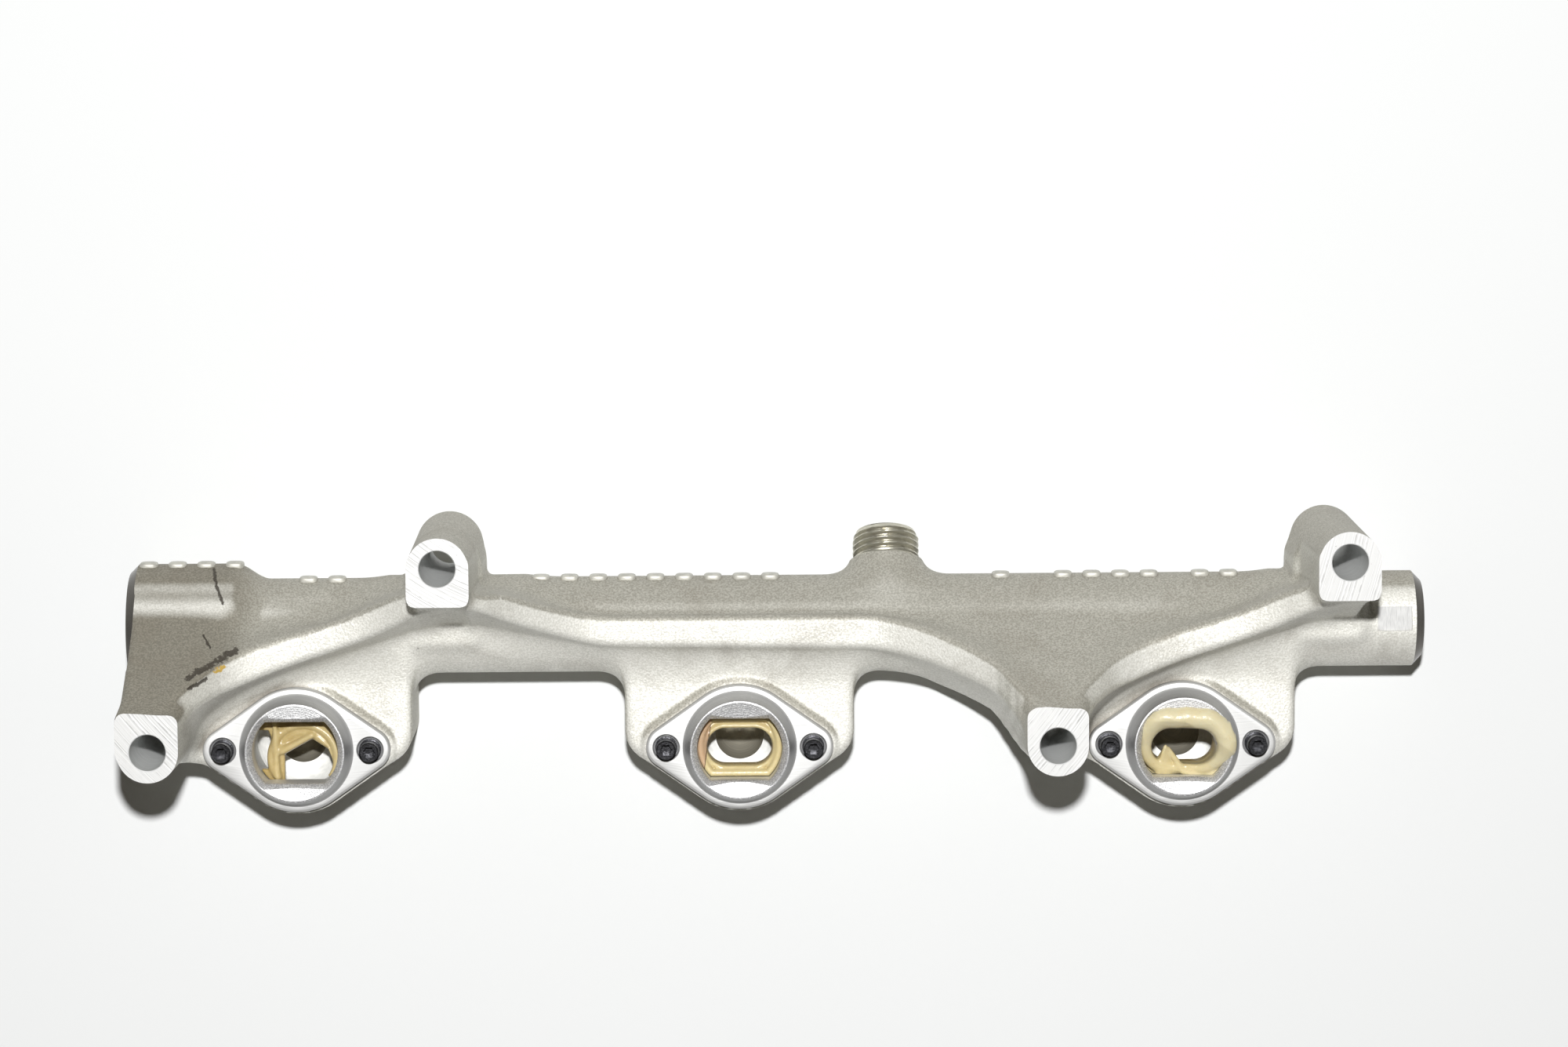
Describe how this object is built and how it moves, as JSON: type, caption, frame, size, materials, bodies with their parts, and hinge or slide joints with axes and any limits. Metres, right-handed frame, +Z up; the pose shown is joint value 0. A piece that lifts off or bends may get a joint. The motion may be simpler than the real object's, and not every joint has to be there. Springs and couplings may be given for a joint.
{
  "type": "fuel rail",
  "caption": "Cast aluminium fuel rail with injector cups under oval retainer plates, sloping arms to drilled posts and a threaded inlet",
  "frame": {"origin": "on the middle cup's axis, on the flat back of its boss", "axes": "+X along the tube towards its plain machined end, +Y from the cups towards the tube and the inlet, +Z up out of the cups, towards the posts' machined faces"},
  "size_m": [0.3108, 0.0709, 0.0617],
  "materials": {
    "cast": "blasted casting",
    "plate": "machined",
    "screw": "black oxide",
    "amber": "aged and translucent"
  },
  "bodies": {
    "root": {"rail_casting": "cast", "retainer_plate_1": "plate", "retainer_plate_2": "plate", "retainer_plate_3": "plate", "plate_screw_1_left": "screw", "plate_screw_1_right": "screw", "plate_screw_2_left": "screw", "plate_screw_2_right": "screw", "plate_screw_3_left": "screw", "plate_screw_3_right": "screw", "cup_insert_1": "amber", "cup_insert_2": "amber", "cup_insert_3": "amber"}
  },
  "joints": []
}
